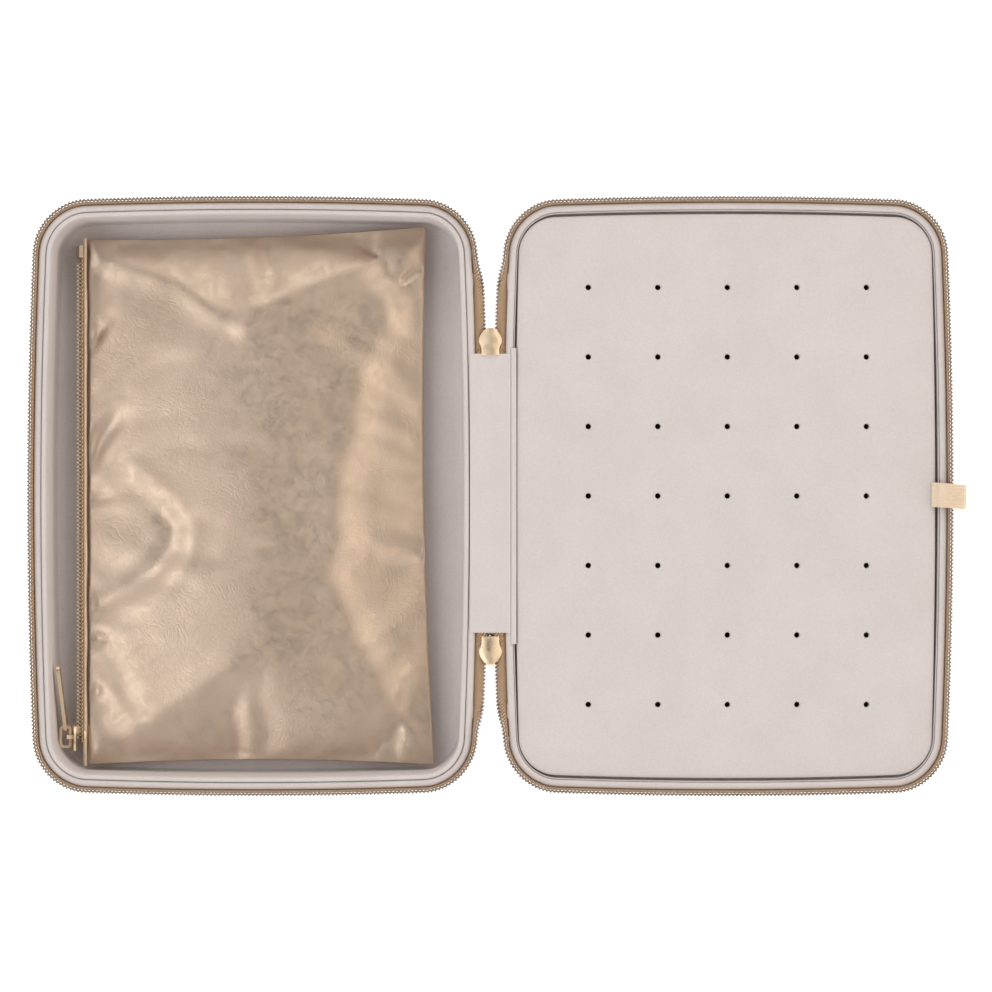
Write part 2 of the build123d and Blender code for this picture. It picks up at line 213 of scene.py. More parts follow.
def makePouchLeather():  # coated leather with a champagne foil: satin metal over fine creases
    material, tree, shader, place = startMaterial("foilLeather", {"Metallic": 0.86})
    bend = addNode(tree, "ShaderNodeTexNoise", {"Scale": 1000 / 14, "Detail": 3}, {"Vector": place})["Color"]
    warped = addNode(tree, "ShaderNodeVectorMath", {"operation": "MULTIPLY_ADD", 1: (0.012, 0.012, 0.012)},
        {0: bend, 2: place})[0]
    slope = addNode(tree, "ShaderNodeTexNoise", {"Scale": 1000 / pouchLeather["crease"], "Detail": 2,
        "Distortion": 0.6}, {"Vector": warped})["Fac"]
    bands = addNode(tree, "ShaderNodeMath", {"operation": "PINGPONG", 1: 0.035}, {0: slope})[0]
    creases = addNode(tree, "ShaderNodeMapRange", {"From Min": 0.0, "From Max": 0.014}, {"Value": bands})[0]
    worn = addNode(tree, "ShaderNodeTexNoise", {"Scale": 1000 / 26, "Detail": 2}, {"Vector": warped})["Fac"]
    calm = addNode(tree, "ShaderNodeMapRange", {"From Min": 0.44, "From Max": 0.6, "To Min": 1,
        "To Max": 0.1}, {"Value": worn})[0]
    folds = addNode(tree, "ShaderNodeMath", {"operation": "MAXIMUM"}, {0: creases, 1: calm})[0]
    grain = addNode(tree, "ShaderNodeTexNoise", {"Scale": 1000 / pouchLeather["grain"], "Detail": 3},
        {"Vector": place})["Fac"]
    soft = addNode(tree, "ShaderNodeTexNoise", {"Scale": 1000 / 5, "Detail": 4, "Distortion": 0.8},
        {"Vector": warped})["Fac"]
    patch = addNode(tree, "ShaderNodeTexNoise", {"Scale": 1000 / 30, "Detail": 3}, {"Vector": place})["Fac"]
    colour = addNode(tree, "ShaderNodeMix", {"data_type": "RGBA", 6: linear(pouchLeather["shade"]),
        7: linear(pouchLeather["colour"])}, {0: patch})[2]
    rough = addNode(tree, "ShaderNodeMapRange", {"From Min": 0.3, "From Max": 0.7,
        "To Min": pouchLeather["rough"] * 0.85, "To Max": pouchLeather["rough"] * 1.2}, {"Value": soft})[0]
    broad = addNode(tree, "ShaderNodeBump", {"Strength": 0.12, "Distance": 0.3 * mm}, {"Height": soft})[0]
    lines = addNode(tree, "ShaderNodeBump", {"Strength": 0.4, "Distance": 0.08 * mm},
        {"Height": folds, "Normal": broad})[0]
    fine = addNode(tree, "ShaderNodeBump", {"Strength": 0.8, "Distance": 0.08 * mm},
        {"Height": grain, "Normal": lines})[0]
    for source, target in ((colour, "Base Color"), (rough, "Roughness"), (fine, "Normal")):
        tree.links.new(source, shader.inputs[target])
    return material


def makeShellLeather():  # coated polyurethane with a pressed pebble grain, satin
    material, tree, shader, place = startMaterial("pebbleLeather", {"Roughness": 0.5,
        "Coat Weight": 0.08, "Coat Roughness": 0.35})
    pebbles = addNode(tree, "ShaderNodeTexVoronoi", {"Scale": 1000 / 1.5, "Randomness": 0.9},
        {"Vector": place})["Distance"]
    tone = addNode(tree, "ShaderNodeTexNoise", {"Scale": 1000 / 25, "Detail": 3}, {"Vector": place})["Fac"]
    colour = addNode(tree, "ShaderNodeMix", {"data_type": "RGBA", 6: linear("a08d80"),
        7: linear("b3a194")}, {0: tone})[2]
    bump = addNode(tree, "ShaderNodeBump", {"Strength": 0.5, "Distance": 0.15 * mm, "invert": True},
        {"Height": pebbles})[0]
    tree.links.new(colour, shader.inputs["Base Color"])
    tree.links.new(bump, shader.inputs["Normal"])
    return material


def makeSatin():  # polyester satin: close lengthwise threads, a soft streak of shine
    material, tree, shader, place = startMaterial("satinWeave", {"Roughness": 0.38,
        "Sheen Weight": 0.3, "Specular IOR Level": 0.7})
    squeeze = addNode(tree, "ShaderNodeMapping", {"Scale": (0.12, 1, 1)}, {"Vector": place})[0]
    threads = addNode(tree, "ShaderNodeTexNoise", {"Scale": 1000 / 0.4, "Detail": 1}, {"Vector": squeeze})["Fac"]
    colour = addNode(tree, "ShaderNodeMix", {"data_type": "RGBA", 6: linear("d3b797"),
        7: linear("ecd9c1")}, {0: threads})[2]
    bump = addNode(tree, "ShaderNodeBump", {"Strength": 0.4, "Distance": 0.05 * mm}, {"Height": threads})[0]
    tree.links.new(colour, shader.inputs["Base Color"])
    tree.links.new(bump, shader.inputs["Normal"])
    return material


def makeBoard(name, dark, light, grain, roughness):  # pressed board, felt or foam: a plain matt surface with its own grit
    material, tree, shader, place = startMaterial(name, {"Roughness": roughness})
    grit = addNode(tree, "ShaderNodeTexNoise", {"Scale": 1000 / grain, "Detail": 4}, {"Vector": place})["Fac"]
    colour = addNode(tree, "ShaderNodeMix", {"data_type": "RGBA", 6: linear(dark), 7: linear(light)},
        {0: grit})[2]
    bump = addNode(tree, "ShaderNodeBump", {"Strength": 0.5, "Distance": 0.1 * mm}, {"Height": grit})[0]
    tree.links.new(colour, shader.inputs["Base Color"])
    tree.links.new(bump, shader.inputs["Normal"])
    return material


suedeFinish = makeSuede()
tapeFinish = makeTape("twillTape", "UV")
flatTapeFinish = makeTape("twillTapeFlat", "Object")
coilFinish = makeCoil("metallisedNylon", "8a7b70", "b9aca0")
pouchCoilFinish = makeCoil("goldenNylon", "e9d8c2", "fff2e0")
goldFinish = makeMetal("goldPlate", "f6dfbf", 0.36, 4)
leatherFinish = makePouchLeather()
shellFinish = makeShellLeather()
satinFinish = makeSatin()
greyboardFinish = makeBoard("greyboard", "857c74", "a59c93", 1.2, 0.95)
feltFinish = makeBoard("backingFelt", "bdb3ab", "d3cac3", 0.8, 1.0)
foamFinish = makeBoard("openFoam", "d9d3c6", "efeadf", 0.6, 1.0)
threadFinish = makeBoard("sewingThread", "b89c7c", "e8d3b6", 0.5, 0.6)
print("materials ready")


# ---- sweeping a cross-section round the rims

Station = namedtuple("Station", "point out up distance depth dip")
rimShape = {"cornerRadius": 19, "sideBow": 3, "endBow": 2, "cornerSteps": 14, "sideSteps": 44}


def rimLine(half, sideBow=rimShape["sideBow"]):  # stations round one half's rim, starting at the spine's middle
    low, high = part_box(f"{half}_rim_band")
    middle, reach = (low + high) / 2, (high - low) / 2
    radius = rimShape["cornerRadius"] * mm
    bm = bmesh.new()
    bmesh.ops.create_grid(bm, x_segments=1, y_segments=1, size=1)
    bmesh.ops.scale(bm, vec=(reach.x, reach.y, 1), verts=bm.verts)
    bmesh.ops.bevel(bm, geom=bm.verts[:], offset=radius, offset_type="OFFSET", affect="VERTICES",
        segments=rimShape["cornerSteps"], profile=0.5, material=-1)
    sides = [e for e in bm.edges if e.calc_length() > radius]
    bmesh.ops.subdivide_edges(bm, edges=sides, cuts=rimShape["sideSteps"])
    bm.faces.ensure_lookup_table()
    points = [v.co.copy() for v in bm.faces[0].verts]
    bm.free()
    line = []
    for p in points:
        across, along = p.x / reach.x, p.y / reach.y
        bowX = sideBow * mm * along ** 2 * across
        bowY = rimShape["endBow"] * mm * across ** 2 * along
        line.append(Vector((middle.x + p.x - bowX, middle.y + p.y - bowY, rimTop)))
    start = min(range(len(line)), key=lambda i: hypot(line[i].x - spineX, line[i].y))
    line = line[start:] + line[:start]
    stations, distance = [], 0
    for i, p in enumerate(line):
        tangent = (line[(i + 1) % len(line)] - line[i - 1]).normalized()
        stations.append(Station(p, tangent.cross(up), up, distance, 1, 0))
        distance += (line[(i + 1) % len(line)] - p).length
    return stations


def place(station, spot):  # a cross-section point, (out, up) in millimetres, at one station
    out, rise = spot
    if rise < 0:
        out += station.dip * (rise / 9.5) ** 2
        rise *= station.depth
    return station.point + station.out * out * mm + station.up * rise * mm


def sweepMesh(line, section, closedLine=True, closedSection=True):
    bm = bmesh.new()
    spot = bm.verts.layers.int.new("spot")
    step = bm.verts.layers.int.new("step")
    row = [bm.verts.new(place(s, section[0])) for s in line]
    for i, v in enumerate(row):
        v[spot] = i
    edges = [bm.edges.new(pair) for pair in zip(row, row[1:] + row[:1] * closedLine)]
    walk = section[1:] + section[:1] * closedSection
    widths = [0]
    for i, target in enumerate(walk, 1):
        grown = set(newVerts(bmesh.ops.extrude_edge_only(bm, edges=edges)))
        edges = list({e for v in grown for e in v.link_edges if e.other_vert(v) in grown})
        for v in grown:
            v[step] = i
            v.co = place(line[v[spot]], target)
        widths.append(widths[-1] + hypot(target[0] - section[i - 1][0], target[1] - section[i - 1][1]) * mm)
    layer = bm.loops.layers.uv.new("along")
    whole = line[-1].distance + (line[0].point - line[-1].point).length
    for face in bm.faces:
        spots = [loop.vert[spot] for loop in face.loops]
        wraps = closedLine and max(spots) - min(spots) > 1
        for loop in face.loops:
            here = whole if wraps and loop.vert[spot] == 0 else line[loop.vert[spot]].distance
            loop[layer].uv = (here, widths[loop.vert[step]])
    bmesh.ops.remove_doubles(bm, verts=bm.verts, dist=0.001 * mm)
    return bm


def sweep(name, line, section, material, **closed):
    bm = sweepMesh(line, section, **closed)
    bmesh.ops.holes_fill(bm, edges=[e for e in bm.edges if e.is_boundary], sides=0)
    bmesh.ops.recalc_face_normals(bm, faces=bm.faces)
    return toObject(bm, name, material)


# ---- the two halves: suede on the rims and inside walls

# cross-sections as (out from the rim line, up from the rim's top)
rimBand = [(0, -2), (-0.05, -1), (-0.4, -0.3), (-0.95, 0), (-1.6, 0.05), (-2.25, -0.03),
    (-2.7, -0.3), (-2.92, -0.9), (-2.95, -2)]
trayLining = [(-3.05, -1.1), (-3.15, 0), (-3.5, 0.42), (-4.1, 0.5), (-4.8, 0.3), (-5.2, -0.4),
    (-5.25, -2), (-5.22, -20), (-5.4, -24), (-6.2, -26.1), (-7.6, -26.8), (-9.6, -26.92),
    (-9.6, -26.99), (-8.8, -27.5), (-6.4, -27), (-4.9, -24.3), (-4.2, -20), (-3.2, -3)]
lidLining = [(-3.05, -1.6), (-3.2, -1), (-3.45, -1.1), (-3.55, -2), (-3.6, -6.7), (-3.9, -6.87),
    (-6.4, -6.87), (-6.6, -7.2), (-6.6, -20), (-6.8, -24), (-7.5, -26.2), (-8.4, -26.8), (-9.6, -26.92),
    (-9.6, -26.99), (-8.8, -27.5), (-7.2, -27), (-5.6, -24.3), (-4.8, -20), (-3.2, -8)]

for half, lining in (("base", trayLining), ("lid", lidLining)):
    line = rimLine(half)
    band = sweep(f"{half}_rim_suede", line, rimBand, suedeFinish)
    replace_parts(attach(band, half), f"{half}_rim_band")
    wall = sweep(f"{half}_wall_suede", line, lining, suedeFinish)
    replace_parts(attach(wall, half), f"{half}_wall_liner")
print("rims and linings done")


# ---- zipper round the rims

zipperRun = {"leaves": 98, "flat": 80, "tapeEnd": 50, "coilEnd": 66.5, "out": 2.3, "lift": 0.1,
    "depth": 0.25, "dip": 1.9}
tapeSection = [(0.12, -9.5), (0.12, -2), (0.32, -0.2), (0.72, 1.15), (0.95, 1.35), (1.2, 1.2),
    (0.88, -0.2), (0.68, -2), (0.68, -9.5)]
coilPlace = (1.72, 1.4)
cordSection = [(coilPlace[0] + 0.32 * cos(a), coilPlace[1] - 0.15 + 0.32 * sin(a))
    for a in (i * pi / 3 for i in range(6))]
tooth = {"wire": 0.4, "bend": 0.56, "foot": -0.72, "head": 0.18, "slant": 0.38, "pitch": 1.55,
    "wireSides": 6, "bendSteps": 5}


def zipperLine(half, end):  # the rim's stations, turning flat where the zipper runs to the sliders
    run = []
    for s in rimLine(half):
        along = abs(s.point.y) / mm
        onSpine = s.out.x * spineSide[half] > 0.8
        if onSpine and along < end:
            continue
        share = (zipperRun["leaves"] - along) / (zipperRun["leaves"] - zipperRun["flat"])
        turn = smoothStep(share) if onSpine else 0
        angle = turn * pi / 2
        point = s.point + s.out * zipperRun["out"] * turn * mm + up * zipperRun["lift"] * turn * mm
        run.append(Station(point, s.out * cos(angle) - up * sin(angle), up * cos(angle) + s.out * sin(angle),
            s.distance, 1 + (zipperRun["depth"] - 1) * smoothStep(2.2 * share if onSpine else 0),
            zipperRun["dip"] * turn))
    return run


def evenSteps(line, spot, pitch):  # stations at even steps along the line through one cross-section point
    points = [place(s, spot) for s in line]
    steps, due, walked = [], 0, 0
    for a, b, p, q in zip(line, line[1:], points, points[1:]):
        length = (q - p).length
        while due < walked + length:
            t = (due - walked) / length
            steps.append((p.lerp(q, t), a.out.lerp(b.out, t).normalized(), a.up.lerp(b.up, t).normalized()))
            due += pitch * mm
        walked += length
    return steps


def addTooth(bm, wire, bend, foot, head, slant, wireSides, bendSteps, **rest):
    # one turn of the coil: a leg, the bend over the top and the other leg, X out, Y along, Z up
    start = bmesh.ops.create_circle(bm, segments=wireSides, radius=wire * mm)["verts"]
    bmesh.ops.translate(bm, vec=Vector((bend, -slant, foot)) * mm, verts=start)
    made = list(start)
    ring = list({e for v in start for e in v.link_edges})
    for kind in ("leg", "bend", "leg"):
        if kind == "leg":
            grown = newVerts(bmesh.ops.extrude_edge_only(bm, edges=ring))
            rise = (head - foot) * (1 if made[-1] in start else -1)
            bmesh.ops.translate(bm, vec=(0, 0, rise * mm), verts=grown)
            made += grown
        else:
            before = set(bm.verts)
            spun = bmesh.ops.spin(bm, geom=ring, cent=(0, 0, head * mm), axis=(0, 1, 0), angle=-pi,
                steps=bendSteps, dvec=(0, 2 * slant * mm / bendSteps, 0))["geom_last"]
            grown = [g for g in spun if isinstance(g, bmesh.types.BMVert)]
            made += [v for v in bm.verts if v not in before]
        last = set(grown)
        ring = list({e for v in last for e in v.link_edges if e.other_vert(v) in last})
    return made


def coil(name, rows, material, tooth=tooth):  # one tooth for each (point, out, up, along) in rows
    bm = bmesh.new()
    first = addTooth(bm, **tooth)
    bmesh.ops.holes_fill(bm, edges=[e for e in bm.edges if e.is_boundary], sides=0)
    bmesh.ops.recalc_face_normals(bm, faces=bm.faces)
    pattern = bm.verts[:] + bm.edges[:] + bm.faces[:]
    for point, out, rise in rows:
        along = rise.cross(out)
        turn = Matrix((out, along, rise)).transposed().to_4x4()
        copied = newVerts(bmesh.ops.duplicate(bm, geom=pattern))
        bmesh.ops.transform(bm, matrix=Matrix.Translation(point) @ turn, verts=copied)
    bmesh.ops.delete(bm, geom=[g for g in pattern if isinstance(g, bmesh.types.BMVert)], context="VERTS")
    return toObject(bm, name, material, sharp=60)


for half in ("base", "lid"):
    line = zipperLine(half, zipperRun["tapeEnd"])
    woven = sweep(f"{half}_zipper_twill", line, tapeSection, tapeFinish, closedLine=False)
    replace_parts(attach(woven, half), f"{half}_zipper_tape")
    line = zipperLine(half, zipperRun["coilEnd"])
    rows = evenSteps(line, coilPlace, tooth["pitch"])
    turns = coil(f"{half}_zipper_turns", rows, coilFinish)
    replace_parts(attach(turns, half), f"{half}_zipper_coil")
    core = sweep(f"{half}_coil_cord", line, cordSection, coilFinish, closedLine=False)
    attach(core, half)
print("rim zippers done")


# ---- closed chain and fabric at the spine

chain = {"reach": 60, "pitch": 1.55, "headGap": 0.35, "tapeInner": 1.4, "tapeOuter": 5.0, "rows": (2.3, 3.1)}
strip = {"wide": 16.6, "low": -55.8, "high": 58.1, "thick": 0.45, "sag": 0.25}
hingeStrip = {"inner": 8.5, "outer": 10.6, "reach": 60.4, "thick": 0.35}


def ribbonOfCloth(name, path, low, high, thick, material, steps=30):
    # cloth that crosses the spine: its path across (X, Z), run along Y and given its thickness
    bm = bmesh.new()
    row = [bm.verts.new((x * mm, low * mm, z * mm)) for x, z in path]
    edges = [bm.edges.new(pair) for pair in zip(row, row[1:])]
    for _ in range(steps):
        grown = newVerts(bmesh.ops.extrude_edge_only(bm, edges=edges))
        bmesh.ops.translate(bm, vec=(0, (high - low) / steps * mm, 0), verts=grown)
        edges = list({e for v in grown for e in v.link_edges if e.other_vert(v) in grown})
    bmesh.ops.recalc_face_normals(bm, faces=bm.faces)
    if sum(f.normal.z for f in bm.faces) < 0:
        bmesh.ops.reverse_faces(bm, faces=bm.faces)
    bmesh.ops.solidify(bm, geom=bm.faces[:], thickness=thick * mm)
    bmesh.ops.recalc_face_normals(bm, faces=bm.faces)
    return toObject(bm, name, material)


def makeSpine():
    middle = spineX / mm
    top = rimTop / mm
    rows = []
    count = int(2 * chain["reach"] / chain["pitch"])
    for side in (-1, 1):  # both coils lie flat, heads locked past each other
        for i in range(count):
            along = -chain["reach"] + (i + 0.5 + side * 0.25) * chain["pitch"]
            point = Vector((spineX + side * chain["headGap"] * mm, along * mm, chainZ))
            point.x += side * (tooth["head"] + tooth["bend"]) * mm
            rows.append((point, up, Vector((-side, 0, 0))))
    closed = coil("closed_chain_turns", rows, coilFinish)
    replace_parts(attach(closed, "spine_chain"), "spine_zipper_chain")
    for side, end in ((-1, "base"), (1, "lid")):
        low, high = sorted((side * chain["tapeInner"], side * chain["tapeOuter"]))
        path = [(middle + low + (high - low) * t / 6, chainZ / mm + 1.15) for t in range(7)]
        reach = chain["reach"]
        woven = ribbonOfCloth(f"closed_chain_tape_{end}", path, -reach, reach, 0.4, flatTapeFinish)
        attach(woven, "spine_chain")

    half = strip["wide"] / 2
    path = []
    for i in range(25):
        across = -half + 2 * half * i / 24
        sag = strip["sag"] * smoothStep((5.8 - abs(across)) / 2.5)
        path.append((middle + across, top + 0.08 + strip["thick"] - sag))
    cloth = ribbonOfCloth("spine_suede", path, strip["low"], strip["high"], strip["thick"], suedeFinish)
    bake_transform(cloth)
    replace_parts(cloth, "spine_inner_strip")

    low, high = hingeStrip["inner"], hingeStrip["outer"]
    drops = (0, 0, 0.03, 0.1, 0.2, 0.32, 0.46)
    path = [(middle + low + (high - low) * i / 6, top + 0.06 + hingeStrip["thick"] - drops[i]) for i in range(7)]
    cloth = ribbonOfCloth("panel_hinge_suede", path, -hingeStrip["reach"], hingeStrip["reach"],
        hingeStrip["thick"], suedeFinish)
    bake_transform(cloth)
    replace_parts(cloth, "panel_hinge_strip")

    low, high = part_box("spine_outer_cover")
    bottom = low.z / mm
    path = [(-5.2, bottom), (-5.0, bottom + 5), (-4.6, bottom + 8), (-3, bottom + 9), (0, bottom + 9.2),
        (3, bottom + 9), (4.6, bottom + 8), (5.0, bottom + 5), (5.2, bottom)]
    path = [(middle + x, z) for x, z in path]
    cloth = ribbonOfCloth("spine_leather", path, low.y / mm, high.y / mm, 1.0, shellFinish)
    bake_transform(cloth)
    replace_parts(cloth, "spine_outer_cover")


makeSpine()
print("spine done")


# ---- earring panel

panel = {"sideBow": 1.9, "pitch": 28.4, "columns": 5, "rows": 7, "radius": 1.15, "mouth": 1.6,
    "mouthDepth": 0.42, "shift": 0.8}
panelSection = [(-12, -1.15), (-6.5, -1.3), (-5.65, -1.9), (-5.5, -2.6), (-5.5, -6.75), (-5.0, -6.75),
    (-4.78, -6.4), (-4.7, -2.4), (-4.75, -1.5), (-5.05, -0.95), (-5.7, -0.62), (-7.2, -0.46),
    (-11.2, -0.4), (-12, -0.4)]


def makePanel():  # suede drawn over the board: a shallow cap, dimpled at every earring hole
    bm = sweepMesh(rimLine("lid", panel["sideBow"]), panelSection, closedSection=False)
    low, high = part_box("panel_cover")
    middleX = (low.x + high.x) / 2 + panel["shift"] * mm
    top, under = rimTop + panelSection[-1][1] * mm, rimTop + panelSection[0][1] * mm
    for i in range(panel["columns"]):
        for j in range(panel["rows"]):
            x = middleX + (i - (panel["columns"] - 1) / 2) * panel["pitch"] * mm
            y = (j - (panel["rows"] - 1) / 2) * panel["pitch"] * mm
            ring = bmesh.ops.create_circle(bm, segments=20, radius=panel["mouth"] * mm)["verts"]
            bmesh.ops.translate(bm, vec=(x, y, top), verts=ring)
            for height, radius in ((top - panel["mouthDepth"] * mm, panel["radius"]), (under, panel["radius"])):
                last = set(ring)
                edges = list({e for v in ring for e in v.link_edges if e.other_vert(v) in last})
                ring = newVerts(bmesh.ops.extrude_edge_only(bm, edges=edges))
                for v in ring:
                    way = Vector((v.co.x - x, v.co.y - y, 0)).normalized() * radius * mm
                    v.co = Vector((x + way.x, y + way.y, height))
    for height in (top, under):
        edge = [e for e in bm.edges if e.is_boundary and all(abs(v.co.z - height) < 0.01 * mm for v in e.verts)]
        bmesh.ops.triangle_fill(bm, edges=edge, use_beauty=True, use_dissolve=False)
    bmesh.ops.recalc_face_normals(bm, faces=bm.faces)
    cap = toObject(bm, "earring_panel", suedeFinish)
    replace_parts(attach(cap, "panel"), "panel_cover")


makePanel()
print("panel done")


# ---- ribbon loop

ribbonSatin = {"wide": 10, "thick": 0.3, "legs": 6}


def makeRibbon():
    low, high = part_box("ribbon_pull")
    left, right, bottom, top = low.x / mm, high.x / mm - 0.2, low.z / mm, high.z / mm
    middle = (bottom + top) / 2
    turn = (top - bottom) / 2 - 0.2
    path = [(left - 0.4, rimTop / mm - 0.15), (left + 0.8, rimTop / mm + 0.35), (left + 2.4, bottom - 0.6),
        (left + 4.5, bottom - 0.1), (left + 7, bottom + 0.15), (right - turn - 0.5, bottom + 0.2)]
    for i in range(1, 10):
        angle = -pi / 2 + pi * i / 10
        path.append((right - turn + turn * cos(angle), middle + turn * sin(angle)))
    path += [(right - turn - 0.5, top - 0.2), (left + 7, top - 0.35), (left + 4.5, top - 0.75),
        (left + 2.6, top - 1.5), (left + 1.2, rimTop / mm + 1.0), (left, rimTop / mm + 0.3)]
    half = ribbonSatin["wide"] / 2
    loop = ribbonOfCloth("satin_loop", path, -half, half, ribbonSatin["thick"], satinFinish, steps=10)
    for v in loop.data.vertices:  # the free end twists and flares a little
        reach = smoothStep((v.co.x / mm - left) / (right - left))
        v.co.z += 0.35 * reach * sin(v.co.y / mm * 0.55 + 0.6) * mm
        v.co.y += (0.5 - 0.9 * reach) * mm
    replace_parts(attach(loop, "panel"), "ribbon_pull")
    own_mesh(loop)


makeRibbon()
print("ribbon done")


# ---- case sliders

plate = {"length": 11.3, "wide": 9.3, "shank": 7.2, "thick": 0.9, "ridge": 0.6, "edge": 0.22,
    "flange": 1.0, "gap": 3.2}
spade = [(0, -5.65), (3.45, -5.65), (3.6, -5.45), (3.6, -2.9), (3.95, -1.7), (4.45, -0.7), (4.65, 0.3),
    (4.5, 1.5), (4.0, 2.8), (3.2, 4.0), (2.2, 5.0), (1.2, 5.5), (0, 5.65)]


def addPlate(bm, outline, low, high, ridge):  # a plate whose top rises to a crease down its middle
    corners = [bm.verts.new((x * mm, y * mm, low * mm)) for x, y in outline]
    corners += [bm.verts.new((-x * mm, y * mm, low * mm)) for x, y in outline[-2:0:-1]]
    face = bm.faces.new(corners)
    halves = bmesh.ops.connect_verts(bm, verts=[corners[0], corners[len(outline) - 1]])
    sheet = list({f for v in corners for f in v.link_faces})
    grown = newVerts(bmesh.ops.extrude_face_region(bm, geom=sheet))
    bmesh.ops.translate(bm, vec=(0, 0, (high - low) * mm), verts=grown)
    crest = [v for v in grown if abs(v.co.x) < 0.01 * mm]
    bmesh.ops.translate(bm, vec=(0, 0, ridge * mm), verts=crest)
    return corners + grown


def makeSlider(name, body, end):
    low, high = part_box(f"{name}_slider_body")
    middle = (low + high) / 2
    half = (high.z - low.z) / 2 / mm
    bm = bmesh.new()
    addPlate(bm, spade, half - plate["thick"], half, plate["ridge"])
    addPlate(bm, spade, -half, -half + plate["thick"], 0)
    bmesh.ops.recalc_face_normals(bm, faces=bm.faces)
    rim = [e for e in bm.edges if e.calc_face_angle(0) > radians(50)]
    bmesh.ops.bevel(bm, geom=rim, offset=plate["edge"] * mm, offset_type="OFFSET", affect="EDGES",
        segments=3, profile=0.5, material=-1)
    before = set(bm.verts)
    post = bmesh.ops.create_cube(bm, size=1)["verts"]  # the wedge between the plates
    bmesh.ops.scale(bm, vec=(2.0 * mm, 4.4 * mm, plate["gap"] * mm), verts=post)
    bmesh.ops.translate(bm, vec=(0, 2.8 * mm, 0), verts=post)
    for side in (-1, 1):  # side flanges, turned down from the shank
        wall = bmesh.ops.create_cube(bm, size=1)["verts"]
        bmesh.ops.scale(bm, vec=(0.6 * mm, 4.6 * mm, plate["flange"] * mm), verts=wall)
        bmesh.ops.translate(bm, vec=(side * 3.25 * mm, -3.2 * mm, (half - plate["thick"] - 0.4) * mm), verts=wall)
    loose = {e for v in set(bm.verts) - before for e in v.link_edges}
    bmesh.ops.bevel(bm, geom=list(loose), offset=0.15 * mm, offset_type="OFFSET", affect="EDGES",
        segments=2, profile=0.5, material=-1)
    turn = Matrix.Rotation(0 if end > 0 else pi, 4, "Z")
    bmesh.ops.transform(bm, matrix=Matrix.Translation(middle) @ turn, verts=bm.verts)
    piece = toObject(bm, f"{name}_slider_plates", goldFinish, sharp=30)
    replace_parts(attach(piece, f"{name}_slider"), f"{name}_slider_body")


for name, end in (("upper", 1), ("lower", -1)):
    makeSlider(name, f"{name}_slider", end)
print("sliders done")


# ---- pouch

pouchCloth = {"across": 58, "along": 90, "pressure": 4.0, "grow": 0.05, "frames": 22, "top": 24.0,
    "bottom": 5.35, "zipperTop": 16.0, "zipperFoot": 9.0, "seamTop": 12.7, "seamFoot": 11.5,
    "blendIn": 16, "quickRise": 9, "calm": 4, "lowSide": 0.66}
pouchCorners = {"topLeft": (0.9, -2.4), "topRight": (-1.6, 3.0), "bottomRight": (2.0, 0.4),
    "bottomLeft": (0.9, 0.6)}  # moved from the corners of its box
pouchBows = {"top": -1.9, "bottom": 2.3, "left": 0.0, "right": -2.6}
# creases as (points from the pouch's middle, width, depth): above zero a ridge, below zero a valley
pouchFolds = [
    ([(-11, 107), (-12, 92), (-8, 80)], 6, -1.0),
    ([(-4, 107), (-3.5, 92), (-2.5, 74)], 6, 1.2),
    ([(4, 106), (5, 92), (3, 78)], 5, -1.0),
    ([(-73, 105), (-53.8, 96.4), (-31.6, 90.3), (-19.3, 79.2), (-4.1, 72.2)], 6, 1.5),
    ([(-4.1, 72.2), (7.5, 81.2), (33, 92.3), (60, 104)], 6, 1.6),
    ([(-71, 63.5), (-62, 74.6)], 3.6, -2.0),
    ([(-70, 17), (-60, 31), (-53.8, 41.3)], 4.2, -2.0),
    ([(-69, -44.8), (-53.8, -37.3), (-43.5, -29.9), (-35.3, -20), (-33.7, -12.6), (-39.4, -3.1),
        (-47.7, 3), (-57.9, 10)], 5.2, -1.9),
    ([(-50, 14), (-38, 2), (-28, -10), (-28, -24), (-38, -37), (-52, -48)], 5, 0.5),
    ([(-70, -0.3), (-57.1, 1.8)], 2.4, -1.0),
    ([(-70, -57.8), (-59.2, -56.6)], 3, -1.4),
    ([(-71, -82.5), (-63.3, -75.1)], 3, -1.3),
    ([(69.6, -22), (48.2, -17.5), (35.9, -27)], 4.5, -0.9),
    ([(69.6, -28), (50, -26), (38, -31)], 4, 0.4),
    ([(62, 100), (51.5, 73.8), (41.2, 45.4), (39.9, 28.1), (33, 8.4), (33, -16.7), (30.9, -34.8),
        (46.1, -67.7), (62, -100)], 8, 1.5),
    ([(-73, -106), (-45, -90), (-21, -75), (2, -60)], 7, 1.5),
    ([(-9, -104), (-10, -88), (-4, -72)], 6, -1.8),
]


def nearLine(x, y, points):  # how far (x, y) is from a line of points, and how far along it
    best, reach, walked = 1e9, 0, 0
    for (ax, ay), (bx, by) in zip(points, points[1:]):
        length = hypot(bx - ax, by - ay)
        t = min(max(((x - ax) * (bx - ax) + (y - ay) * (by - ay)) / length ** 2, 0), 1)
        away = hypot(x - ax - t * (bx - ax), y - ay - t * (by - ay))
        if away < best:
            best, reach = away, walked + t * length
        walked += length
    return best, reach / walked


